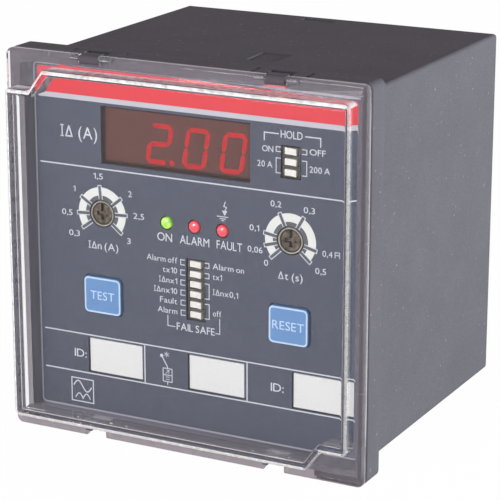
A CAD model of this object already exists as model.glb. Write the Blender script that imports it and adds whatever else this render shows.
import math

import bmesh
import bpy
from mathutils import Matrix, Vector


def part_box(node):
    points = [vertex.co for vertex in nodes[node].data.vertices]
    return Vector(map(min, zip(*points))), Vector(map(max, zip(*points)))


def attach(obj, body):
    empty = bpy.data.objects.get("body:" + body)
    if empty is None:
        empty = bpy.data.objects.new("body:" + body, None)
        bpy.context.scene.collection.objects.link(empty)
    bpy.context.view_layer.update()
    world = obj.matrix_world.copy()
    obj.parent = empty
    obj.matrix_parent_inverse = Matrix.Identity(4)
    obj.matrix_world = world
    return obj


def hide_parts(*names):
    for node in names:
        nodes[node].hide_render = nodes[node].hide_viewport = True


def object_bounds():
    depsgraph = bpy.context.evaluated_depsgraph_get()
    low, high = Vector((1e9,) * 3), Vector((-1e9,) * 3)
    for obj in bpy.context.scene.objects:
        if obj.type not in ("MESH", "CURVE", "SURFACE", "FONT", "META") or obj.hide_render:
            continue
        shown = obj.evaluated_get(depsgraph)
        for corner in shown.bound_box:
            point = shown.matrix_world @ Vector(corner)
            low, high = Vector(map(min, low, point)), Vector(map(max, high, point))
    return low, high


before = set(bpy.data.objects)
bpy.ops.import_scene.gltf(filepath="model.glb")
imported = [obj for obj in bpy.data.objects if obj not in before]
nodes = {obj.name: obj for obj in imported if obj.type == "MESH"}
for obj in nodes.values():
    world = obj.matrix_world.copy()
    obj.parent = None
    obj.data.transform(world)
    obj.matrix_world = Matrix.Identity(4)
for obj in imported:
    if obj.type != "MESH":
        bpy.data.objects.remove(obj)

mm = 0.001
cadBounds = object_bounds()
for leftover in ("Cube", "Light", "Camera"):
    if leftover in bpy.data.objects:
        bpy.data.objects.remove(bpy.data.objects[leftover])

# places on the front are measured from the middle of the panel, in mm
panelMiddle = (cadBounds[0][2] + cadBounds[1][2]) / 2 / mm
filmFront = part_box("overlay_film")[0].y / mm


def linked(piece):
    bpy.context.scene.collection.objects.link(piece)
    return piece


print("camera")
cameraView = {
    "azimuth": 27.581,
    "elevation": 16.406,
    "distance": 559.2,
    "focalPixels": 2191.8,
    "picturePixels": 500,
    "sensorWidth": 36,
    "acrossShift": -4.487,  # where it aims, beside and below the middle, mm
    "heightShift": -8.049,
    "aimDepth": 4.7,
    "nearest": 0.01,
}


def addCamera(view):
    a = math.radians(view["azimuth"])
    e = math.radians(view["elevation"])
    look = Vector((-math.sin(a) * math.cos(e), math.cos(a) * math.cos(e), -math.sin(e)))
    aim = Vector((
        view["acrossShift"] * math.cos(a),
        view["aimDepth"] + view["acrossShift"] * math.sin(a),
        panelMiddle + view["heightShift"],
    ))
    data = bpy.data.cameras.new("photoCamera")
    data.sensor_width = view["sensorWidth"]
    data.lens = view["focalPixels"] / view["picturePixels"] * view["sensorWidth"]
    data.clip_start = view["nearest"]
    camera = linked(bpy.data.objects.new("photoCamera", data))
    camera.location = (aim - look * view["distance"]) * mm
    camera.rotation_euler = look.to_track_quat("-Z", "Y").to_euler()
    bpy.context.scene.camera = camera


addCamera(cameraView)


# materials: small helpers, then one function for each finish
def startMaterial(name):
    material = bpy.data.materials.new(name)
    material.use_nodes = True
    tree = material.node_tree
    return material, tree, tree.nodes["Principled BSDF"]


def feed(socket, value):
    # the value is a plain one or the output of another node
    if isinstance(value, bpy.types.NodeSocket):
        socket.id_data.links.new(value, socket)
    else:
        socket.default_value = value


def setSockets(node, **values):
    for key, value in values.items():
        feed(node.inputs[key.replace("_", " ")], value)


def addGrain(tree, size, detail=2.0, roughness=0.5):
    # noise on object coordinates, its size in mm
    place = tree.nodes.new("ShaderNodeTexCoord").outputs["Object"]
    noise = tree.nodes.new("ShaderNodeTexNoise")
    setSockets(noise, Vector=place, Scale=1 / (size * mm), Detail=detail, Roughness=roughness)
    return noise.outputs["Fac"]


def addRamp(tree, fac, stops):
    ramp = tree.nodes.new("ShaderNodeValToRGB")
    elements = ramp.color_ramp.elements
    while len(elements) < len(stops):
        elements.new(0.5)
    for element, (place, colour) in zip(elements, stops):
        element.position = place
        element.color = (*colour, 1.0)
    setSockets(ramp, Fac=fac)
    return ramp.outputs["Color"]


def addRange(tree, value, low, high, fromLow=0.3, fromHigh=0.7):
    node = tree.nodes.new("ShaderNodeMapRange")
    setSockets(node, Value=value, From_Min=fromLow, From_Max=fromHigh, To_Min=low, To_Max=high)
    return node.outputs["Result"]


def addBump(tree, shader, height, depth, strength=1.0):
    bump = tree.nodes.new("ShaderNodeBump")
    setSockets(bump, Height=height, Distance=depth * mm, Strength=strength)
    setSockets(shader, Normal=bump.outputs["Normal"])


def addMath(tree, operation, first, second):
    node = tree.nodes.new("ShaderNodeMath")
    node.operation = operation
    feed(node.inputs[0], first)
    feed(node.inputs[1], second)
    return node.outputs[0]


def mixSurface(tree, share, first, second):
    # the material's surface, with that share of the second shader
    mix = tree.nodes.new("ShaderNodeMixShader")
    for socket, value in zip(mix.inputs, (share, first.outputs[0], second.outputs[0])):
        feed(socket, value)
    setSockets(tree.nodes["Material Output"], Surface=mix.outputs[0])


def mouldedPlastic(name, dark, light, grainSize, roughLow, roughHigh, depth, strength=0.5, gloss=0.4):
    # two tones that follow the grain, with the roughness and a fine relief
    material, tree, shader = startMaterial(name)
    grain = addGrain(tree, grainSize, 3.0, 0.6)
    colour = addRamp(tree, grain, ((0.35, dark), (0.68, light)))
    rough = addRange(tree, grain, roughHigh, roughLow)
    setSockets(shader, Base_Color=colour, Roughness=rough, Specular_IOR_Level=gloss)
    addBump(tree, shader, grain, depth, strength)
    return material


def multiplied(tree, first, second):
    mix = tree.nodes.new("ShaderNodeMix")
    mix.data_type = "RGBA"
    mix.blend_type = "MULTIPLY"
    setSockets(mix, Factor=1.0, A=first, B=second)
    return mix.outputs["Result"]


def casePlastic():
    # spark-eroded surface: even fine grain, faint clouding and sparse pale specks of dust
    material, tree, shader = startMaterial("casePlastic")
    grain = addGrain(tree, 0.35, 2.0, 0.55)
    cloud = addGrain(tree, 16.0, 2.0, 0.5)
    fine = addRamp(tree, grain, ((0.3, (0.088, 0.073, 0.088)), (0.7, (0.107, 0.091, 0.108))))
    broad = addRamp(tree, cloud, ((0.3, (0.9, 0.9, 0.91)), (0.7, (1.0, 1.0, 1.0))))
    specks = addRamp(tree, addGrain(tree, 1.1, 1.0), ((0.72, (1.0, 1.0, 1.0)), (0.77, (2.0, 2.0, 2.0))))
    colour = multiplied(tree, multiplied(tree, fine, broad), specks)
    rough = addRange(tree, grain, 0.85, 0.72)
    setSockets(shader, Base_Color=colour, Roughness=rough, Specular_IOR_Level=0.06)
    addBump(tree, shader, grain, 0.02, 0.25)
    return material


def clearPlastic(name, tint, rough, clear, bending=1.25, patch=0.015):
    # sight bends a little in it, and the light on its way to or from a dull surface goes straight through
    material, tree, shader = startMaterial(name)
    haze = addGrain(tree, 1.6, 3.0, 0.6)
    clearness = addRange(tree, haze, clear - patch, clear + patch)
    roughness = addRange(tree, haze, rough * 1.3, rough * 0.7)
    setSockets(shader, Base_Color=(*tint, 1), IOR=bending)
    setSockets(shader, Transmission_Weight=clearness, Roughness=roughness)
    path = tree.nodes.new("ShaderNodeLightPath")
    straight = addMath(tree, "MAXIMUM", path.outputs["Is Shadow Ray"], path.outputs["Is Diffuse Ray"])
    through = tree.nodes.new("ShaderNodeBsdfTransparent")
    setSockets(through, Color=(0.96, 0.965, 0.97, 1))
    mixSurface(tree, straight, shader, through)
    return material


def printedFilm():
    # fine woven look of a screened print
    material, tree, shader = startMaterial("printedFilm")
    grain = addGrain(tree, 0.55, 3.0, 0.6)
    cloud = addGrain(tree, 9.0, 3.0, 0.55)
    fine = addRamp(tree, grain, ((0.3, (0.052, 0.055, 0.081)), (0.7, (0.081, 0.086, 0.12))))
    broad = addRamp(tree, cloud, ((0.3, (0.92, 0.93, 0.95)), (0.7, (1.0, 1.0, 1.0))))
    rough = addRange(tree, grain, 0.65, 0.55)
    setSockets(shader, Base_Color=multiplied(tree, fine, broad), Roughness=rough, Specular_IOR_Level=0.18)
    addBump(tree, shader, grain, 0.01, 0.3)
    return material


def ink(name, colour, roughness=0.45, spread=0.06):
    # printing ink, a little thinner in places
    material, tree, shader = startMaterial(name)
    grain = addGrain(tree, 0.3, 2.0)
    thin = tuple(c * (1 - spread) for c in colour)
    tone = addRamp(tree, grain, ((0.35, thin), (0.65, colour)))
    setSockets(shader, Base_Color=tone, Roughness=roughness, Specular_IOR_Level=0.3)
    return material


def lampResin(name, colour, heart, glow):
    # dyed resin dome, lit unevenly from inside
    material, tree, shader = startMaterial(name)
    tone = addRamp(tree, addGrain(tree, 1.3, 1.0), ((0.35, colour), (0.65, heart)))
    setSockets(shader, Base_Color=tone, Emission_Color=tone, Emission_Strength=glow)
    setSockets(shader, Roughness=0.12, IOR=1.5, Coat_Weight=1.0, Coat_Roughness=0.05)
    return material


def litSegment():
    material, tree, shader = startMaterial("litSegment")
    grain = addGrain(tree, 0.5, 1.0)
    tone = addRamp(tree, grain, ((0.35, (0.66, 0.0, 0.012)), (0.65, (0.82, 0.004, 0.022))))
    setSockets(shader, Base_Color=(0.12, 0.004, 0.008, 1), Roughness=0.5, Specular_IOR_Level=0.2)
    setSockets(shader, Emission_Color=tone, Emission_Strength=0.9)
    return material


def displayLens(solidShare=0.12):
    # smoked lens, mostly see-through, so the digits show in its depth
    material, tree, shader = startMaterial("displayLens")
    grain = addGrain(tree, 0.45, 2.0)
    colour = addRamp(tree, grain, ((0.3, (0.13, 0.08, 0.075)), (0.7, (0.2, 0.125, 0.115))))
    setSockets(shader, Base_Color=colour, Roughness=0.35, IOR=1.45, Specular_IOR_Level=0.25)
    clear = tree.nodes.new("ShaderNodeBsdfTransparent")
    setSockets(clear, Color=(0.92, 0.78, 0.76, 1))
    mixSurface(tree, solidShare, clear, shader)
    return material


def brightSteel(name, colour, rough):
    material, tree, shader = startMaterial(name)
    grain = addGrain(tree, 0.6, 4.0, 0.6)
    worn = tuple(c * 0.8 for c in colour)
    tone = addRamp(tree, grain, ((0.3, worn), (0.7, colour)))
    setSockets(shader, Base_Color=tone, Metallic=1.0, Roughness=addRange(tree, grain, rough + 0.12, rough))
    addBump(tree, shader, grain, 0.01, 0.3)
    return material


print("materials")
finish = {
    "case": casePlastic(),
    "recess": mouldedPlastic(
        "recessPlastic", (0.128, 0.116, 0.148), (0.152, 0.142, 0.18), 0.4, 0.7, 0.85, 0.02, gloss=0.1,
    ),
    "clear": clearPlastic("clearPlastic", (0.975, 0.975, 0.98), 0.02, 0.997, patch=0.003),
    "brightEdge": clearPlastic("clearPlasticEdge", (0.95, 0.93, 0.93), 0.2, 0.3, patch=0.25),
    "sideEdge": clearPlastic("clearPlasticSide", (0.96, 0.87, 0.88), 0.3, 0.76, patch=0.02),
    "sideWall": clearPlastic("clearPlasticWall", (0.96, 0.87, 0.87), 0.1, 0.92, patch=0.01),
    "topWall": clearPlastic("clearPlasticTop", (0.75, 0.7, 0.74), 0.1, 0.5, patch=0.2),
    "rimFace": clearPlastic("clearPlasticRim", (0.88, 0.82, 0.88), 0.05, 0.93, patch=0.03),
    "rimBand": clearPlastic("clearPlasticBand", (0.78, 0.72, 0.71), 0.25, 0.22, patch=0.08),
    "rimFoot": clearPlastic("clearPlasticFoot", (0.34, 0.3, 0.33), 0.15, 0.24, patch=0.06),
    "boreWall": clearPlastic("clearPlasticBore", (1.0, 1.0, 1.0), 0.0, 1.0, bending=1.0, patch=0.0),
    "film": printedFilm(),
    "whiteInk": ink("whiteInk", (0.6, 0.61, 0.65)),
    "ringInk": ink("ringInk", (0.7, 0.69, 0.665)),
    "redInk": ink("redInk", (0.62, 0.022, 0.036), 0.5),
    "greyInk": ink("greyInk", (0.47, 0.45, 0.5), 0.5),
    "edgeInk": ink("edgeInk", (0.3, 0.305, 0.35), 0.5),
    "darkInk": ink("darkInk", (0.072, 0.075, 0.085), 0.5),
    "keyInk": ink("keyInk", (0.5, 0.62, 0.8), 0.4),
    "greenLamp": lampResin("greenLamp", (0.22, 0.62, 0.02), (0.55, 0.85, 0.1), 0.22),
    "redLamp": lampResin("redLamp", (0.75, 0.02, 0.045), (0.85, 0.06, 0.09), 0.2),
    "digitGlow": litSegment(),
    "lens": displayLens(),
    "module": mouldedPlastic(
        "moduleFace", (0.13, 0.095, 0.095), (0.22, 0.16, 0.158), 0.4, 0.55, 0.7, 0.02, gloss=0.2,
    ),
    "trimmer": mouldedPlastic(
        "trimmerBeige", (0.22, 0.2, 0.17), (0.34, 0.315, 0.27), 0.6, 0.45, 0.6, 0.03,
    ),
    "rotor": mouldedPlastic(
        "rotorBrown", (0.018, 0.012, 0.008), (0.15, 0.11, 0.08), 0.9, 0.4, 0.6, 0.08, gloss=0.2,
    ),
    "switch": mouldedPlastic(
        "switchBrown", (0.024, 0.018, 0.016), (0.045, 0.034, 0.03), 0.4, 0.5, 0.65, 0.02,
    ),
    "rocker": mouldedPlastic("rockerIvory", (0.66, 0.62, 0.58), (0.76, 0.72, 0.68), 0.6, 0.4, 0.55, 0.02),
    "key": mouldedPlastic("keyBlue", (0.085, 0.2, 0.42), (0.105, 0.235, 0.47), 0.4, 0.45, 0.55, 0.015),
    "card": mouldedPlastic("whiteCard", (0.66, 0.64, 0.635), (0.71, 0.69, 0.685), 0.5, 0.6, 0.75, 0.015),
    "board": mouldedPlastic("boardGreen", (0.02, 0.11, 0.05), (0.035, 0.17, 0.075), 1.2, 0.35, 0.5, 0.02),
    "relay": mouldedPlastic("relayCream", (0.72, 0.69, 0.6), (0.82, 0.79, 0.7), 0.5, 0.4, 0.55, 0.02),
    "sleeve": mouldedPlastic("sleeveBlue", (0.02, 0.03, 0.07), (0.03, 0.045, 0.1), 0.8, 0.25, 0.4, 0.01),
    "terminal": mouldedPlastic(
        "terminalGreen", (0.018, 0.07, 0.035), (0.03, 0.105, 0.055), 0.45, 0.42, 0.58, 0.03,
    ),
    "steel": brightSteel("platedSteel", (0.62, 0.62, 0.6), 0.22),
    "core": brightSteel("coreSteel", (0.3, 0.3, 0.32), 0.4),
    "darkSteel": brightSteel("blackenedSteel", (0.1, 0.095, 0.1), 0.4),
}


# shapes: small helpers
def newPiece(name, mesh, body, slotName, material, *replaced):
    mesh.name = name
    if material:
        mesh.materials.clear()
        mesh.materials.append(material)
    piece = linked(bpy.data.objects.new(name, mesh))
    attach(piece, body)
    if replaced:
        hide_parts(*replaced)
    return piece


def toMesh(bm, name):
    mesh = bpy.data.meshes.new(name)
    bmesh.ops.recalc_face_normals(bm, faces=bm.faces)
    bm.to_mesh(mesh)
    bm.free()
    return mesh


def plainMesh(piece):
    # the evaluated result, with no modifier left
    bpy.context.view_layer.update()
    shape = piece.evaluated_get(bpy.context.evaluated_depsgraph_get())
    mesh = bpy.data.meshes.new_from_object(shape)
    bpy.data.objects.remove(piece)
    return mesh


def shadedSmooth(mesh, angle):
    # smooth over edges that turn by less than the angle
    mesh.shade_smooth()
    mesh.set_sharp_from_angle(angle=math.radians(angle))
    return mesh


copyStyle = {
    "weld": 0.002,  # points closer than this become one
    "flatAngle": 0.4,  # faces that meet at less become one, in degrees
    "easedAngle": 50,  # edges that turn by more are eased
    "easeSteps": 2,
}


def finishedCopy(node, name, body, slotName, material, angle=40, edge=0.0, cuts=()):
    # the solid's own surface with its triangles merged, its small edges eased and its shading smoothed;
    # a cut is an axis, the place on it where the faces are divided, and how high up it reaches
    mesh = nodes[node].data.copy()
    bm = bmesh.new()
    bm.from_mesh(mesh)
    bmesh.ops.remove_doubles(bm, verts=bm.verts, dist=copyStyle["weld"] * mm)
    flat = math.radians(copyStyle["flatAngle"])
    bmesh.ops.dissolve_limit(bm, angle_limit=flat, verts=bm.verts, edges=bm.edges)
    for axis, place, top in cuts:
        faces = [f for f in bm.faces if f.calc_center_median().z < top * mm]
        geometry = {item for f in faces for item in (f, *f.edges, *f.verts)}
        across = Vector([float(axis == i) for i in range(3)])
        bmesh.ops.bisect_plane(bm, geom=list(geometry), plane_co=across * place * mm, plane_no=across)
    if edge:
        least = math.radians(copyStyle["easedAngle"])
        sharp = [e for e in bm.edges if e.is_manifold and e.calc_face_angle(0) > least]
        bmesh.ops.bevel(
            bm, geom=sharp, offset=edge * mm, offset_type="OFFSET", segments=copyStyle["easeSteps"],
            profile=0.5, affect="EDGES", clamp_overlap=True,
        )
    bm.to_mesh(mesh)
    bm.free()
    helper = linked(bpy.data.objects.new(name + "Helper", shadedSmooth(mesh, angle)))
    weighted = helper.modifiers.new("weighted", "WEIGHTED_NORMAL")
    weighted.keep_sharp = True
    return newPiece(name, plainMesh(helper), body, slotName, material, node)


def panelPoint(x, y, z):
    # a place given from the middle of the panel in mm
    return (x * mm, y * mm, (panelMiddle + z) * mm)


def addPrism(bm, front, back):
    # closed solid between two outlines of the same number of points
    near = [bm.verts.new(point) for point in front]
    far = [bm.verts.new(point) for point in back]
    bm.faces.new(near)
    bm.faces.new(list(reversed(far)))
    for i in range(len(near)):
        k = (i + 1) % len(near)
        bm.faces.new((near[i], far[i], far[k], near[k]))


def sortedSolid(bm, digits=7):
    # the same solid, its points rounded to 0.0001 mm and in an order that doesn't change from run to run
    for vert in bm.verts:
        vert.co = [round(part, digits) for part in vert.co]
    ordered = sorted(bm.verts, key=lambda vert: tuple(vert.co))
    place = {vert: i for i, vert in enumerate(ordered)}
    faces = []
    for face in bm.faces:
        corners = [place[vert] for vert in face.verts]
        first = corners.index(min(corners))
        faces.append(corners[first:] + corners[:first])
    solid = bmesh.new()
    verts = [solid.verts.new(vert.co) for vert in ordered]
    for corners in sorted(faces):
        solid.faces.new([verts[i] for i in corners])
    bm.free()
    return solid


def turnedSolid(profile, steps):
    # a solid turned about the depth axis, from radii and depths in mm
    bm = bmesh.new()
    verts = [bm.verts.new((radius * mm, depth * mm, 0)) for radius, depth in profile]
    for a, b in zip(verts, verts[1:]):
        bm.edges.new((a, b))
    bmesh.ops.spin(
        bm, geom=bm.verts[:] + bm.edges[:], cent=(0, 0, 0), axis=(0, 1, 0), angle=2 * math.pi, steps=steps,
    )
    bmesh.ops.remove_doubles(bm, verts=bm.verts, dist=copyStyle["weld"] * mm)
    return sortedSolid(bm)


def addBand(bm, inner, outer, front, back, closed=False):
    # closed solid between two lines of the same number of points, standing from back to front
    def corners(points):
        return [[bm.verts.new(panelPoint(x, y, z)) for y in (front, back)] for x, z in points]

    near = corners(inner)
    far = corners(outer)
    count = len(near)
    for i in range(count if closed else count - 1):
        k = (i + 1) % count
        a, b, c, d = near[i], near[k], far[k], far[i]
        bm.faces.new((a[0], b[0], c[0], d[0]))
        bm.faces.new((d[1], c[1], b[1], a[1]))
        bm.faces.new((a[1], b[1], b[0], a[0]))
        bm.faces.new((d[0], c[0], c[1], d[1]))
    if not closed:
        for i in (0, -1):
            bm.faces.new((near[i][0], far[i][0], far[i][1], near[i][1]))


def strokeSides(points, width, closed):
    # the two sides of a line of that width, with mitred corners
    inner = []
    outer = []
    count = len(points)
    for i, point in enumerate(points):
        before = points[i - 1] if i or closed else None
        after = points[(i + 1) % count] if i < count - 1 or closed else None
        here = Vector(point)
        ways = []
        if before is not None:
            ways.append((here - Vector(before)).normalized())
        if after is not None:
            ways.append((Vector(after) - here).normalized())
        way = sum(ways, Vector((0, 0))).normalized()
        normal = Vector((-way.y, way.x))
        reach = width / 2 / max(0.3, abs(way.dot(ways[0])))
        inner.append(here - normal * reach)
        outer.append(here + normal * reach)
    return inner, outer


def addStroke(bm, points, width, front, back, closed=False):
    inner, outer = strokeSides(points, width, closed)
    addBand(bm, inner, outer, front, back, closed)


def addArc(bm, x, z, inside, outside, start, end, front, back, steps):
    inner = []
    outer = []
    for i in range(steps + 1):
        angle = math.radians(start + (end - start) * i / steps)
        inner.append((x + inside * math.cos(angle), z + inside * math.sin(angle)))
        outer.append((x + outside * math.cos(angle), z + outside * math.sin(angle)))
    addBand(bm, inner, outer, front, back)


def roundedLine(x, z, width, height, corner, steps=5):
    points = []
    for cx, cz, turn in ((1, 1, 0), (-1, 1, 90), (-1, -1, 180), (1, -1, 270)):
        for i in range(steps + 1):
            angle = math.radians(turn + 90 * i / steps)
            points.append((
                x + cx * (width / 2 - corner) + corner * math.cos(angle),
                z + cz * (height / 2 - corner) + corner * math.sin(angle),
            ))
    return points


letterDepth = 0.05  # only its sign matters: addWord sets the front and the back


def letterMesh(letter):
    curve = bpy.data.curves.new("letter", "FONT")
    curve.body = letter
    curve.size = 1.0
    curve.extrude = letterDepth
    curve.resolution_u = 3
    return plainMesh(linked(bpy.data.objects.new("letter", curve)))


capUnit = max(v.co.y for v in letterMesh("H").vertices)
wordStyle = {
    "gap": 0.13,  # this and the next two are shares of the capitals' height
    "space": 0.3,
    "stem": 0.13,
    "weld": 0.0005,
}
letterShapes = {}


def merged(mesh, distance):
    bm = bmesh.new()
    bm.from_mesh(mesh)
    bmesh.ops.remove_doubles(bm, verts=bm.verts, dist=distance)
    bm.to_mesh(mesh)
    bm.free()
    return mesh


def strokeLetter(paths, width):
    # a letter of straight strokes, for those that the built-in font draws in another way
    bm = bmesh.new()
    for path in paths:
        inner, outer = strokeSides(path, width, False)
        for i in range(len(path) - 1):
            quad = (inner[i], inner[i + 1], outer[i + 1], outer[i])
            addPrism(bm, [(x, y, letterDepth) for x, y in quad], [(x, y, -letterDepth) for x, y in quad])
    return toMesh(bm, "letter")


def straightLetters(top, stem):
    # the strokes and their width, with the dotless i standing for the serif I of the quantity signs
    foot = 0.02 * top
    wide = 0.74 * top
    serif = stem * 0.25
    return {
        "1": ([[(0.3 * top, 0), (0.3 * top, top)], [(foot, 0.72 * top), (0.3 * top, 0.95 * top)]], stem),
        "\u0394": ([
            [(0, stem / 2), (wide, stem / 2)], [(stem * 0.5, foot), (0.38 * top, top)],
            [(wide - stem * 0.5, foot), (0.36 * top, top)],
        ], stem),
        "I": ([[(0, 0), (0, top)]], stem * 1.1),
        "\u0131": ([
            [(0.16 * top, 0), (0.16 * top, top)], [(0, serif), (0.32 * top, serif)],
            [(0, top - serif), (0.32 * top, top - serif)],
        ], stem * 0.8),
    }


def letterShape(letter):
    if letter not in letterShapes:
        straight = straightLetters(capUnit, wordStyle["stem"] * capUnit)
        if letter in straight:
            mesh = strokeLetter(*straight[letter])
        else:
            mesh = merged(letterMesh(letter), wordStyle["weld"])
        low = min(v.co.x for v in mesh.vertices)
        high = max(v.co.x for v in mesh.vertices)
        letterShapes[letter] = (mesh, low, high)
    return letterShapes[letter]


def addWord(bm, text, left, right, base, cap, front, back):
    # a word between two places, on its base line, with capitals of that height
    spots = []
    pen = 0.0
    for letter in text:
        if letter == " ":
            pen += wordStyle["space"] * capUnit
            continue
        mesh, low, high = letterShape(letter)
        spots.append((mesh, pen - low))
        end = pen + high - low
        pen = end + wordStyle["gap"] * capUnit
    stretch = (right - left) / end
    for mesh, shift in spots:
        placed = mesh.copy()
        for vert in placed.vertices:
            x = left + (vert.co.x + shift) * stretch
            z = panelMiddle + base + vert.co.y * cap / capUnit
            vert.co = (x * mm, (front if vert.co.z > 0 else back) * mm, z * mm)
        bm.from_mesh(placed)
        bpy.data.meshes.remove(placed)


# a mesh whose points carry a turn, and the tree that puts one shape on each of them
def placesMesh(places):
    # each place is x, y, z in mm and a turn about the depth axis in degrees
    mesh = bpy.data.meshes.new("places")
    mesh.from_pydata([(x * mm, y * mm, z * mm) for x, y, z, turn in places], [], [])
    turns = mesh.attributes.new("turn", "FLOAT", "POINT")
    for item, place in zip(turns.data, places):
        item.value = math.radians(place[3])
    return mesh


def repeatTree():
    tree = bpy.data.node_groups.new("shapeOnPlaces", "GeometryNodeTree")
    kinds = {"Geometry": "Geometry", "Shape": "Object", "Material": "Material"}
    for name, kind in kinds.items():
        tree.interface.new_socket(name=name, in_out="INPUT", socket_type=f"NodeSocket{kind}")
    tree.interface.new_socket(name="Geometry", in_out="OUTPUT", socket_type="NodeSocketGeometry")
    add = tree.nodes.new
    start = add("NodeGroupInput")
    end = add("NodeGroupOutput")
    shape = add("GeometryNodeObjectInfo")
    turn = add("GeometryNodeInputNamedAttribute")
    turn.data_type = "FLOAT"
    turn.inputs["Name"].default_value = "turn"
    turnVector = add("ShaderNodeCombineXYZ")
    toPoints = add("GeometryNodeMeshToPoints")
    onPoints = add("GeometryNodeInstanceOnPoints")
    realize = add("GeometryNodeRealizeInstances")
    paint = add("GeometryNodeSetMaterial")
    for source, output, target, entry in (
        (start, "Shape", shape, "Object"),
        (start, "Geometry", toPoints, "Mesh"),
        (turn, "Attribute", turnVector, "Y"),
        (toPoints, "Points", onPoints, "Points"),
        (shape, "Geometry", onPoints, "Instance"),
        (turnVector, "Vector", onPoints, "Rotation"),
        (onPoints, "Instances", realize, "Geometry"),
        (realize, "Geometry", paint, "Geometry"),
        (start, "Material", paint, "Material"),
        (paint, "Geometry", end, "Geometry"),
    ):
        tree.links.new(source.outputs[output], target.inputs[entry])
    return tree


shapeOnPlaces = repeatTree()


def repeatShape(shapeMesh, places, material):
    shape = linked(bpy.data.objects.new("shape", shapeMesh))
    holder = linked(bpy.data.objects.new("places", placesMesh(places)))
    modifier = holder.modifiers.new("repeat", "NODES")
    modifier.node_group = shapeOnPlaces
    wanted = {"Shape": shape, "Material": material}
    for item in shapeOnPlaces.interface.items_tree:
        if item.in_out == "INPUT" and item.name in wanted:
            modifier[item.identifier] = wanted[item.name]
    mesh = plainMesh(holder)
    bpy.data.objects.remove(shape)
    return mesh


print("moulded parts")
finishedCopy("housing", "caseShell", "base", "case_plastic", finish["case"], angle=24)
frontFrame = finishedCopy("front_frame", "frontFrame", "base", "case_plastic", finish["case"])


def markRecess(piece):
    # the walls round the film have a tone of their own, lighter and bluer than the frame
    piece.data.materials.append(finish["recess"])
    middle = sum(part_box("front_frame"), Vector()) / 2
    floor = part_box("overlay_film")[1].y
    for face in piece.data.polygons:
        inward = (face.center - middle).dot(Vector((face.normal.x, 0, face.normal.z))) < 0
        upright = abs(face.normal.y) < 0.7
        if inward and upright and face.center.y < floor:
            face.material_index = 1


markRecess(frontFrame)
coverStyle = {
    "edgeDepth": 0.9,  # how far the window's eased front edges reach back
    "plateBack": -43.2,  # just behind the window's front wall
    "footTop": 2.6,  # height of the strip that the lower rim shows
    "footRight": 35.5,  # where that strip ends, beside the cut-back corner
    "bandTop": 4.75,  # top of the pale band along the foot of the window
    "rimInner": 46.6,  # further out the front of the rim stays clear
    "rimSample": 1.5,  # the depth of the rim's front is read this near the cover's sides
    "rimLead": 0.3,  # faces up to this far before that depth count as rim
    "boreReach": 0.8,  # faces this near the pins' axis are the walls of the bores
}


def coverCuts(style):
    # all go through the whole cover but the last one, which stays within the foot strip
    whole = math.inf
    return (
        (2, style["footTop"], whole), (2, style["bandTop"], whole), (1, style["plateBack"], whole),
        (0, style["rimInner"], whole), (0, -style["rimInner"], whole),
        (0, style["footRight"], style["footTop"]),
    )


cover = finishedCopy(
    "front_cover", "clearCover", "cover", "clear_plastic", finish["clear"], angle=42,
    cuts=coverCuts(coverStyle),
)


def markCoverFaces(piece, style):
    # where the moulding gathers light it looks white or hazy: its eased edges, its walls and the rim
    keys = ["brightEdge", "sideEdge", "sideWall", "topWall", "rimFace", "rimBand", "rimFoot", "boreWall"]
    mesh = piece.data
    for key in keys:
        mesh.materials.append(finish[key])
    low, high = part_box("front_cover")
    rimFront = min(v.co.y for v in mesh.vertices if abs(v.co.x) > high.x - style["rimSample"] * mm)
    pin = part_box("hinge_pin_left")
    axis = (pin[0] + pin[1]) / 2

    def edgeLook(place, normal, level, outside):
        tilt = abs(normal.y)
        if tilt > 0.99:
            return "rimBand" if place.z < style["bandTop"] * mm and normal.y < 0 else None
        if level and outside and normal.z < -0.05:
            return "rimBand"
        if not level and outside and normal.x > 0.05:
            return "sideEdge" if normal.x > 0.5 else None
        return "brightEdge" if tilt > (0.5 if level else 0.9) else None

    def wallLook(place, normal, outside):
        if abs(normal.y) > 0.12 or not outside:
            return None
        if normal.z > 0.3:
            return "topWall"
        if normal.x < -0.5:
            return "sideEdge"
        return "sideWall" if normal.x > 0.5 and place.y < style["plateBack"] * mm else None

    def rimLook(place, normal, outside):
        if place.z < style["footTop"] * mm:
            shown = place.x < style["footRight"] * mm and (normal.y < -0.1 or normal.z < -0.5)
            return "rimFoot" if shown else None
        if normal.y < -0.1 and abs(place.x) < style["rimInner"] * mm:
            return "rimFace"
        return "rimFace" if abs(normal.x) > 0.5 and outside else None

    for face in mesh.polygons:
        place = face.center
        normal = face.normal
        level = abs(normal.z) > abs(normal.x)
        outside = place.x * normal.x + (place.z - panelMiddle * mm) * normal.z > 0
        fromAxis = math.hypot(place.y - axis.y, place.z - axis.z)
        if fromAxis < style["boreReach"] * mm and abs(normal.x) < 0.3:
            key = "boreWall"
        elif place.y < low.y + style["edgeDepth"] * mm:
            key = edgeLook(place, normal, level, outside)
        elif place.y < rimFront - style["rimLead"] * mm:
            key = wallLook(place, normal, outside)
        else:
            key = rimLook(place, normal, outside)
        if key:
            face.material_index = 1 + keys.index(key)


markCoverFaces(cover, coverStyle)
smallParts = {
    "trimmer": {"slot": "trimmer_plastic", "edge": 0.08},
    "rotor": {"slot": "rotor_plastic", "edge": 0.06},
    "switch": {"slot": "switch_plastic", "edge": 0.06},
    "key": {"slot": "key_plastic", "edge": 0.0},
    "rocker": {"slot": "rocker_plastic", "edge": 0.12},
    "card": {"slot": "white_card", "edge": 0.06},
    "terminal": {"slot": "terminal_plastic", "edge": 0.12},
}


def smallPart(kind, node, name, body="base"):
    style = smallParts[kind]
    finishedCopy(node, name, body, style["slot"], finish[kind], edge=style["edge"])


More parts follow.
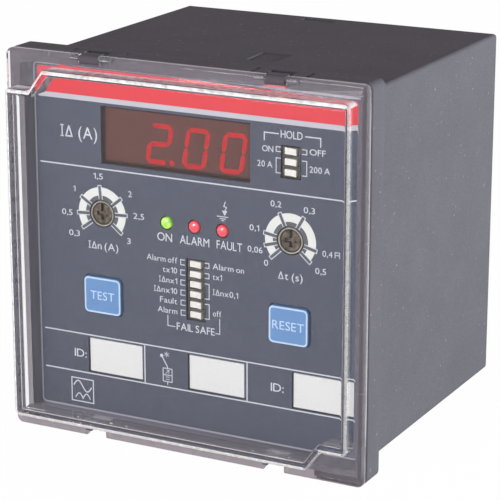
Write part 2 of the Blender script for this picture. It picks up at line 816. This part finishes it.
for word in ("current", "time"):
    smallPart("trimmer", f"{word}_trimmer_body", f"{word}DialBody")
for word in ("current", "time"):
    smallPart("rotor", f"{word}_trimmer_rotor", f"{word}DialRotor", f"{word}_rotor")
for word in ("option", "hold"):
    smallPart("switch", f"{word}_switch_body", f"{word}SwitchBody")
for word in ("test", "reset"):
    smallPart("key", f"{word}_key", f"{word}KeyCap", f"{word}_key")
for word, poles in (("option", 6), ("hold", 3)):
    for pole in range(1, poles + 1):
        smallPart("rocker", f"{word}_rocker_{pole}", f"{word}Rocker{pole}", f"{word}_rocker_{pole}")

lampStyle = {
    "radius": 1.5,
    "domeStep": 9,  # degrees
    "domeSink": 0.1,  # its edge lies this far behind the front of the film
    "flangeFront": 1.6,  # both before the rear end
    "flangeBack": 0.6,
    "steps": 32,
    "smoothAngle": 40,
}


def lampMesh(node, style):
    # a low dome that fills its hole in the film, on a stem with a flange at the board
    low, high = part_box(node)
    radius = style["radius"]
    tip = low.y / mm
    flange = (high.x - low.x) / 2 / mm
    rear = high.y / mm
    edge = filmFront + style["domeSink"]
    profile = []
    for turn in range(0, 91, style["domeStep"]):
        angle = math.radians(turn)
        profile.append((radius * math.sin(angle), edge - (edge - tip) * math.cos(angle)))
    front = rear - style["flangeFront"]
    back = rear - style["flangeBack"]
    profile += [(radius, front), (flange, front), (flange, back), (radius, back)]
    profile += [(radius, rear), (0, rear)]
    bm = turnedSolid(profile, style["steps"])
    bmesh.ops.translate(bm, verts=bm.verts, vec=((low.x + high.x) / 2, 0, (low.z + high.z) / 2))
    return shadedSmooth(toMesh(bm, node), style["smoothAngle"])


for word, slotName, glow in (
    ("on", "green_lamp", "greenLamp"), ("alarm", "red_lamp", "redLamp"), ("fault", "red_lamp", "redLamp"),
):
    node = f"lamp_{word}"
    newPiece(f"{word}Lamp", lampMesh(node, lampStyle), "base", slotName, finish[glow], node)
for place in range(1, 4):
    smallPart("card", f"id_field_{place}", f"labelCard{place}")
for word in ("upper", "lower"):
    smallPart("terminal", f"terminal_block_{word}", f"{word}TerminalBlock")

carriedOver = {
    "overlay_film": "film", "display_window": "lens", "display_module": "module",
    "hinge_pin_left": "darkSteel", "hinge_pin_right": "darkSteel",
    "test_switch": "switch", "reset_switch": "switch",
    "front_board": "board", "supply_board": "board", "output_board": "board",
    "transformer": "core", "capacitor": "sleeve", "output_relay_1": "relay", "output_relay_2": "relay",
}
for node, key in carriedOver.items():
    data = nodes[node].data
    data.materials.clear()
    data.materials.append(finish[key])


print("panel print")
inkStyle = {"lift": 0.03, "sink": 0.01}  # how far the print stands out of its ground and reaches into it
inkFront = filmFront - inkStyle["lift"]
inkBack = filmFront + inkStyle["sink"]
panelWords = {
    "small": {
        "cap": 1.45,
        "words": (
            ("0,3", -35.2, -32.1, 1.1), ("0,5", -37.1, -34.1, 6.2), ("1", -33.75, -33.1, 12.4),
            ("1,5", -27.95, -25.2, 16.3), ("2", -18.15, -17.15, 12.85), ("2,5", -16.8, -13.8, 7.6),
            ("3", -18.65, -17.65, 1.0),
            ("0", 18.7, 19.8, 0.75), ("0,06", 14.35, 18.3, 3.6), ("0,1", 14.85, 17.4, 8.9),
            ("0,2", 20.4, 23.2, 15.4), ("0,3", 29.0, 31.9, 14.85), ("0,4", 33.9, 36.5, 5.0),
            ("0,5", 32.1, 34.9, 0.6),
            ("Alarm off", -13.2, -4.75, -2.1), ("tx10", -8.8, -4.8, -4.65),
            ("\u0131\u0394nx1", -9.85, -4.8, -7.25), ("\u0131\u0394nx10", -11.3, -4.8, -9.85),
            ("Fault", -9.65, -4.85, -12.4), ("Alarm", -10.3, -4.85, -14.95),
            ("Alarm on", 4.95, 13.4, -2.1), ("tx1", 4.95, 7.45, -4.7),
            ("\u0131\u0394nx0,1", 4.95, 11.8, -8.55), ("off", 4.95, 7.2, -13.9),
            ("ON", 18.15, 21.05, 28.4), ("OFF", 30.4, 34.5, 28.8), ("20 A", 16.9, 20.85, 24.7),
            ("200 A", 30.4, 35.6, 24.7),
        ),
    },
    "medium": {
        "cap": 1.8,
        "words": (
            ("HOLD", 22.95, 28.6, 32.1), ("FAIL SAFE", -5.05, 5.4, -18.8),
            ("\u0131\u0394n (A)", -29.65, -21.2, -1.4), ("\u0394t (s)", 22.4, 28.85, -1.95),
        ),
    },
    "large": {
        "cap": 2.05,
        "words": (
            ("ON", -10.2, -6.1, 3.1), ("ALARM", -3.95, 4.05, 3.15), ("FAULT", 6.05, 12.9, 3.2),
            ("ID:", -34.4, -30.9, -30.25), ("ID:", 20.6, 24.05, -30.25),
        ),
    },
    "title": {"cap": 2.9, "words": (("\u0131\u0394", -37.0, -33.5, 25.95), ("(A)", -31.9, -26.6, 25.95))},
}
strokes = {
    "fine": 0.15,
    "hair": 0.2,
    "thin": 0.26,
    "box": 0.28,
    "rule": 0.3,
    "stem": 0.36,
}
signSteps = {"disc": 16, "wave": 24}
polePitch = 2.54


def onFilm(name, mesh, material):
    newPiece(name, mesh, "base", "printed_film", material)


def addDisc(bm, x, z, radius, front, back, steps):
    near = []
    far = []
    for i in range(steps):
        angle = 2 * math.pi * i / steps
        across = x + radius * math.cos(angle)
        up = z + radius * math.sin(angle)
        near.append(panelPoint(across, front, up))
        far.append(panelPoint(across, back, up))
    addPrism(bm, near, far)


def panelPrint():
    bm = bmesh.new()
    for group in panelWords.values():
        for text, left, right, base in group["words"]:
            addWord(bm, text, left, right, base, group["cap"], inkFront, inkBack)

    def line(points, kind, closed=False):
        addStroke(bm, points, strokes[kind], inkFront, inkBack, closed)

    # rules across the panel and between the label fields
    for z in (18.95, -24.05, -34.15):
        line([(-43.0, z), (43.0, z)], "rule")
    for x in (-14.14, 14.2):
        line([(x, -24.3), (x, -33.95)], "rule")
    # brackets beside the option switch, one to a pole on the left
    for pole in range(6):
        top = -0.95 - pole * polePitch
        line([(-2.6, top), (-3.8, top), (-3.8, top - 1.25), (-2.6, top - 1.25)], "hair")
    for top, bottom in ((-0.9, -2.1), (-3.5, -4.7), (-6.1, -9.85), (-11.2, -14.9)):
        line([(2.75, top), (3.95, top), (3.95, bottom), (2.75, bottom)], "hair")
    line([(-7.5, -15.45), (-7.5, -18.15), (-5.45, -18.15)], "hair")
    line([(6.8, -14.4), (6.8, -18.2), (5.6, -18.2)], "hair")
    # brackets round the hold switch
    line([(18.7, 31.0), (18.7, 32.95), (22.45, 32.95)], "thin")
    line([(29.25, 33.0), (33.2, 33.0), (33.2, 30.85)], "thin")
    for top, bottom in ((29.85, 28.75), (27.2, 23.65)):
        line([(23.05, top), (21.8, top), (21.8, bottom), (23.05, bottom)], "hair")
        line([(28.45, top), (29.7, top), (29.7, bottom), (28.45, bottom)], "hair")
    # earth fault sign over its lamp
    line([(8.45, 15.0), (8.0, 13.75), (8.75, 13.6), (8.25, 12.6)], "hair")
    line([(7.8, 12.55), (8.25, 11.75), (8.7, 12.55)], "rule", closed=True)
    line([(8.25, 12.5), (8.25, 12.0)], "stem")
    line([(6.15, 11.2), (9.2, 11.2)], "hair")
    line([(6.9, 10.7), (8.6, 10.7)], "hair")
    line([(7.35, 10.25), (8.1, 10.25)], "hair")
    # small boxed sign beside the time scale
    line([(37.15, 5.0), (37.15, 6.4), (38.3, 6.4), (38.3, 5.0)], "hair")
    line([(37.15, 5.75), (38.3, 5.75)], "hair")
    # breaker sign
    addDisc(bm, -9.35, -26.15, 0.45, inkFront, inkBack, signSteps["disc"])
    line([(-9.15, -26.5), (-7.75, -28.9), (-7.75, -29.25)], "thin")
    for turn in (90, 30, 150):
        across = 0.75 * math.cos(math.radians(turn))
        up = 0.75 * math.sin(math.radians(turn))
        line([(-7.95 - across, -25.7 - up), (-7.95 + across, -25.7 + up)], "fine")
    line([(-9.0, -29.3), (-6.5, -29.3), (-6.5, -32.7), (-9.0, -32.7)], "hair", closed=True)
    line([(-9.0, -31.0), (-6.5, -31.0)], "hair")
    line([(-8.1, -29.75), (-7.4, -29.75), (-7.4, -30.6)], "fine")
    line([(-8.3, -30.7), (-7.2, -29.6)], "fine")
    line([(-8.2, -31.5), (-7.2, -31.5)], "fine")
    line([(-8.2, -32.1), (-7.2, -32.1)], "fine")
    line([(-7.75, -32.8), (-7.75, -33.5)], "hair")
    # sine wave and pulses in a box
    line([(-35.45, -36.0), (-29.15, -36.0), (-29.15, -42.1), (-35.45, -42.1)], "box", closed=True)
    steps = signSteps["wave"]
    wave = []
    pulses = []
    for i in range(steps + 1):
        swing = math.sin(2 * math.pi * i / steps)
        wave.append((-34.9 + 5.2 * i / steps, -38.0 + 1.35 * swing))
        pulses.append((-34.4 + 4.3 * i / steps, -41.2 + 1.25 * abs(swing)))
    line(wave, "rule")
    line(pulses, "box")
    onFilm("panelPrint", toMesh(bm, "panelPrint"), finish["whiteInk"])


panelPrint()


def addPlate(bm, x, z, front, back):
    addBand(bm, [(x[0], z[0]), (x[1], z[0])], [(x[0], z[1]), (x[1], z[1])], front, back)


def colourBand(name, x, z, material):
    bm = bmesh.new()
    addPlate(bm, x, z, inkFront, inkBack)
    onFilm(name, toMesh(bm, name), material)


colourBand("redBand", (-43.1, 43.1), (36.6, 43.0), finish["redInk"])
colourBand("paleStrip", (-43.1, 43.1), (35.35, 36.58), finish["greyInk"])


borderStyle = {
    "narrower": 0.5,  # its middle line is this much narrower and lower than the film
    "corner": 1.0,
    "width": 0.45,
    "lift": 0.01,  # over the other print
}


def filmBorder(style):
    # the cut edge of the film shows as a thin pale line
    low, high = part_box("overlay_film")
    middle = (low + high) / 2 / mm
    width = (high.x - low.x) / mm - style["narrower"]
    height = (high.z - low.z) / mm - style["narrower"]
    outline = roundedLine(middle.x, middle.z - panelMiddle, width, height, style["corner"])
    bm = bmesh.new()
    addStroke(bm, outline, style["width"], inkFront - style["lift"], inkBack, closed=True)
    onFilm("filmBorder", toMesh(bm, "filmBorder"), finish["edgeInk"])


filmBorder(borderStyle)


print("dials")
dialScale = {
    "ringInside": 4.6,
    "ringOutside": 6.65,
    "ringSteps": 64,
    "darkInside": 3.55,
    "darkSlit": 0.02,  # between the dark bars and the ring
    "darkGap": 9.0,  # degrees that stay free beside a mark
    "darkLeast": 2,  # degrees that a dark bar covers at least
    "darkSteps": 16,
    "tickStart": 3.6,
    "tickLength": 3.6,
    "tickWidth": 0.72,
    "tickDepth": 0.03,
    "tickBorder": 0.2,
    "layer": 0.012,  # each print lies on the one before
    "current": {"x": -25.6, "z": 7.65, "ticks": (216.1, 183.5, 147.2, 95.0, 39.4, 3.1, -38.6)},
    "time": {"x": 25.6, "z": 7.65, "ticks": (222.5, 195.6, 170.3, 113.9, 60.6, -13.7, -41.5)},
}


def tickMesh(length, width):
    bm = bmesh.new()
    bmesh.ops.create_cube(bm, size=1.0)
    for vert in bm.verts:
        vert.co.x = (vert.co.x + 0.5) * length * mm
        vert.co.y *= dialScale["tickDepth"] * mm
        vert.co.z *= width * mm
    return toMesh(bm, "tick")


def joinedMesh(name, meshes):
    bm = bmesh.new()
    for mesh in meshes:
        bm.from_mesh(mesh)
    return toMesh(bm, name)


def dialPieces(word, dial, style):
    x = dial["x"]
    z = dial["z"]
    ticks = sorted(dial["ticks"])
    inside = style["ringInside"]
    ring = bmesh.new()
    addArc(
        ring, x, z, inside, style["ringOutside"], ticks[0], ticks[-1],
        inkFront, inkBack, style["ringSteps"],
    )
    onFilm(f"{word}ScaleRing", toMesh(ring, "ring"), finish["ringInk"])
    dark = bmesh.new()
    gap = style["darkGap"]
    for start, end in zip(ticks, ticks[1:]):
        if end - start > 2 * gap + style["darkLeast"]:
            addArc(
                dark, x, z, style["darkInside"], inside - style["darkSlit"], start + gap, end - gap,
                inkFront, inkBack, style["darkSteps"],
            )
    onFilm(f"{word}ScaleShade", toMesh(dark, "shade"), finish["darkInk"])
    start = style["tickStart"]
    border = style["tickBorder"]
    outline = tickMesh(style["tickLength"], style["tickWidth"] + 2 * border)
    bar = tickMesh(style["tickLength"] - border, style["tickWidth"])
    for kind, shape, material, level in (("Outline", outline, "whiteInk", 1), ("Bar", bar, "darkInk", 2)):
        depth = inkFront + style["tickDepth"] / 2 - level * style["layer"]
        places = []
        for angle in ticks:
            turn = math.radians(angle)
            height = panelMiddle + z + start * math.sin(turn)
            places.append((x + start * math.cos(turn), depth, height, -angle))
        onFilm(f"{word}Tick{kind}s", repeatShape(shape, places, finish[material]), None)


for word in ("current", "time"):
    dialPieces(word, dialScale[word], dialScale)


print("display digits")
digitStyle = {
    "height": 8.9,
    "width": 5.3,
    "thickness": 1.15,
    "slant": 9.0,
    "gap": 0.16,
    "shown": ((0.0, "2"), (10.0, "0"), (20.0, "0")),
    "firstX": -12.9,
    "base": 22.0,
    "pointX": -6.9,
    "pointRise": 0.2,
    "pointRadius": 0.66,
    "pointSteps": 16,
    "lift": 0.06,  # of the bars' middle plane over the module's face
    "halfDepth": 0.05,
}
lit = {"2": "abged", "0": "abcdef"}


def segmentMesh(length, width, depth):
    # a bar with pointed ends, lying along x
    bm = bmesh.new()
    end = length / 2
    side = width / 2
    outline = [
        (-end, 0), (-end + side, side), (end - side, side),
        (end, 0), (end - side, -side), (-end + side, -side),
    ]
    front = [(x * mm, -depth * mm, z * mm) for x, z in outline]
    back = [(x * mm, depth * mm, z * mm) for x, z in outline]
    addPrism(bm, front, back)
    return toMesh(bm, "segment")


def displayDigits(style):
    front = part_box("display_module")[0].y / mm - style["lift"]
    depth = style["halfDepth"]
    half = style["height"] / 2
    middle = style["base"] + half
    places = {
        "a": (0, half), "g": (0, 0), "d": (0, -half),
        "f": (-1, half / 2), "b": (1, half / 2), "e": (-1, -half / 2), "c": (1, -half / 2),
    }
    flat = []
    upright = []
    for offset, digit in style["shown"]:
        centre = style["firstX"] + offset + style["width"] / 2
        for letter in lit[digit]:
            side, up = places[letter]
            x = centre + side * style["width"] / 2
            place = (x, front, panelMiddle + middle + up, 0.0 if side == 0 else 90.0)
            (flat if side == 0 else upright).append(place)
    bars = []
    for length, spots in ((style["width"], flat), (half, upright)):
        bar = segmentMesh(length - style["gap"], style["thickness"], depth)
        bars.append(repeatShape(bar, spots, finish["digitGlow"]))
    mesh = joinedMesh("displayDigits", bars)
    lean = math.tan(math.radians(style["slant"]))
    for vert in mesh.vertices:
        vert.co.x += (vert.co.z - (panelMiddle + middle) * mm) * lean
    newPiece("displayDigits", mesh, "base", "display_module", finish["digitGlow"])
    dot = bmesh.new()
    addDisc(
        dot, style["pointX"], style["base"] + style["pointRise"], style["pointRadius"],
        front - depth, front + depth, style["pointSteps"],
    )
    newPiece("displayPoint", toMesh(dot, "point"), "base", "display_module", finish["digitGlow"])


displayDigits(digitStyle)


print("keys")
keyPrint = {
    "cap": 2.1,
    "height": -13.1,
    "base": -14.15,
    "border": {"width": 9.75, "height": 8.65, "corner": 0.95, "stroke": 0.42},
    "words": {
        "test": {"x": -25.5, "left": -28.9, "right": -22.1},
        "reset": {"x": 25.5, "left": 21.3, "right": 29.7},
    },
}


def keyFace(word, spot, style):
    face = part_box(f"{word}_key")[0].y / mm
    front = face - inkStyle["lift"]
    back = face + inkStyle["sink"]
    border = style["border"]
    bm = bmesh.new()
    addWord(bm, word.upper(), spot["left"], spot["right"], style["base"], style["cap"], front, back)
    outline = roundedLine(spot["x"], style["height"], border["width"], border["height"], border["corner"])
    addStroke(bm, outline, border["stroke"], front, back, closed=True)
    newPiece(f"{word}KeyPrint", toMesh(bm, "keyPrint"), f"{word}_key", "key_plastic", finish["keyInk"])


for word, spot in keyPrint["words"].items():
    keyFace(word, spot, keyPrint)


print("terminal screws")
screwStyle = {
    "count": 16,
    "headRadius": 2.4,
    "headHeight": 1.6,
    "chamfer": 0.35,
    "shankRadius": 1.4,
    "shankLength": 3.0,
    "slot": 0.8,
    "slotDepth": 0.8,
    "slotOver": 1,  # the long slot runs out of the head
    "crossShare": 1.1,  # length of the cross slot in radii
    "steps": 28,
    "eased": 0.06,
    "easeSteps": 2,
    "easedAngle": 40,
    "smoothAngle": 35,
    "turnStep": 7.0,  # degrees
}


def screwMesh(style):
    # plus-minus head: a turned head with a slot and a shorter cross slot
    radius = style["headRadius"]
    shank = style["shankRadius"]
    seat = -style["headHeight"]
    tip = seat - style["shankLength"]
    chamfer = style["chamfer"]
    profile = [(0, 0), (radius - chamfer, 0), (radius, -chamfer), (radius, seat)]
    profile += [(shank, seat), (shank, tip), (0, tip)]
    bm = turnedSolid(profile, style["steps"])
    head = linked(bpy.data.objects.new("screwHead", toMesh(bm, "screwHead")))
    slot = style["slot"]
    for length, width in ((radius * 2 + style["slotOver"], slot), (slot, radius * style["crossShare"])):
        cut = bmesh.new()
        bmesh.ops.create_cube(cut, size=1.0)
        for vert in cut.verts:
            across, depth, up = vert.co
            vert.co = (across * length * mm, (depth * 2 * style["slotDepth"]) * mm, up * width * mm)
        tool = linked(bpy.data.objects.new("screwCut", toMesh(cut, "screwCut")))
        boolean = head.modifiers.new("slot", "BOOLEAN")
        boolean.operation = "DIFFERENCE"
        boolean.solver = "EXACT"
        boolean.object = tool
        head = linked(bpy.data.objects.new("screwHead", plainMesh(head)))
        bpy.data.objects.remove(tool)
    bevel = head.modifiers.new("eased", "BEVEL")
    bevel.width = style["eased"] * mm
    bevel.segments = style["easeSteps"]
    bevel.limit_method = "ANGLE"
    bevel.angle_limit = math.radians(style["easedAngle"])
    return shadedSmooth(plainMesh(head), style["smoothAngle"])


def screwPlace(number, style):
    # each screw is left at an angle of its own, up to 5 steps to either side
    low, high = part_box(f"terminal_screw_{number}")
    steps = (number * 37) % 11 - 5
    return ((low.x + high.x) / 2 / mm, high.y / mm, (low.z + high.z) / 2 / mm, style["turnStep"] * steps)


numbers = range(1, screwStyle["count"] + 1)
screwPlaces = [screwPlace(number, screwStyle) for number in numbers]
screws = repeatShape(screwMesh(screwStyle), screwPlaces, finish["steel"])
newPiece("terminalScrews", screws, "base", "steel", None, *[f"terminal_screw_{n}" for n in numbers])


print("studio")


def seenDirectly(tree):
    # 1 for what the camera sees itself, in gloss or through glass, 0 for the light that falls on a surface
    path = tree.nodes.new("ShaderNodeLightPath")
    total = path.outputs["Is Camera Ray"]
    for name in ("Is Glossy Ray", "Is Transmission Ray"):
        total = addMath(tree, "MAXIMUM", total, path.outputs[name])
    return addMath(tree, "MULTIPLY", total, addMath(tree, "LESS_THAN", path.outputs["Diffuse Depth"], 0.5))


floorStyle = {
    "size": 6.0,
    "gap": 0.0002,  # it lies this far under the part, m
    "tone": 0.86,
    "roughness": 0.7,
    "whiteShare": 0.985,  # how much of what is seen directly is plain white
}


def studioFloor(style):
    bm = bmesh.new()
    bmesh.ops.create_grid(bm, x_segments=1, y_segments=1, size=style["size"])
    floor = linked(bpy.data.objects.new("studioFloor", toMesh(bm, "studioFloor")))
    floor.location.z = cadBounds[0][2] - style["gap"]
    material, tree, shader = startMaterial("paleFloor")
    tone = style["tone"]
    setSockets(shader, Base_Color=(tone, tone, tone, 1), Roughness=style["roughness"])
    white = tree.nodes.new("ShaderNodeEmission")
    setSockets(white, Strength=1.0)
    share = addMath(tree, "MULTIPLY", seenDirectly(tree), style["whiteShare"])
    mixSurface(tree, share, shader, white)
    floor.data.materials.append(material)


studioFloor(floorStyle)

worldLight = {"diffuse": 0.27, "seen": 1.0}


def studioWorld(style):
    world = bpy.data.worlds.new("studioWorld")
    bpy.context.scene.world = world
    world.use_nodes = True
    tree = world.node_tree
    strength = addRange(tree, seenDirectly(tree), style["diffuse"], style["seen"], 0.0, 1.0)
    setSockets(tree.nodes["Background"], Color=(1, 1, 1, 1), Strength=strength)


studioWorld(worldLight)

lamps = {
    "rightSoftbox": {
        "place": (0.85, 0.25, 0.17),
        "size": (0.6, 0.22),
        "power": 15.0,
        "colour": (0.83, 1.0, 0.96),
    },
    "frontSoftbox": {
        "place": (-0.25, -0.88, 0.28),
        "size": (0.4, 0.4),
        "power": 7.6,
        "colour": (1.0, 1.0, 1.0),
    },
}


def addLamp(name, style):
    data = bpy.data.lights.new(name, "AREA")
    data.shape = "RECTANGLE"
    data.size, data.size_y = style["size"]
    data.energy = style["power"]
    data.color = style["colour"]
    lamp = linked(bpy.data.objects.new(name, data))
    lamp.location = style["place"]
    aim = Vector((0, 0, panelMiddle * mm)) - lamp.location
    lamp.rotation_euler = aim.to_track_quat("-Z", "Y").to_euler()


for name, style in lamps.items():
    addLamp(name, style)

view = bpy.context.scene.view_settings
view.view_transform = "Standard"

print("done")
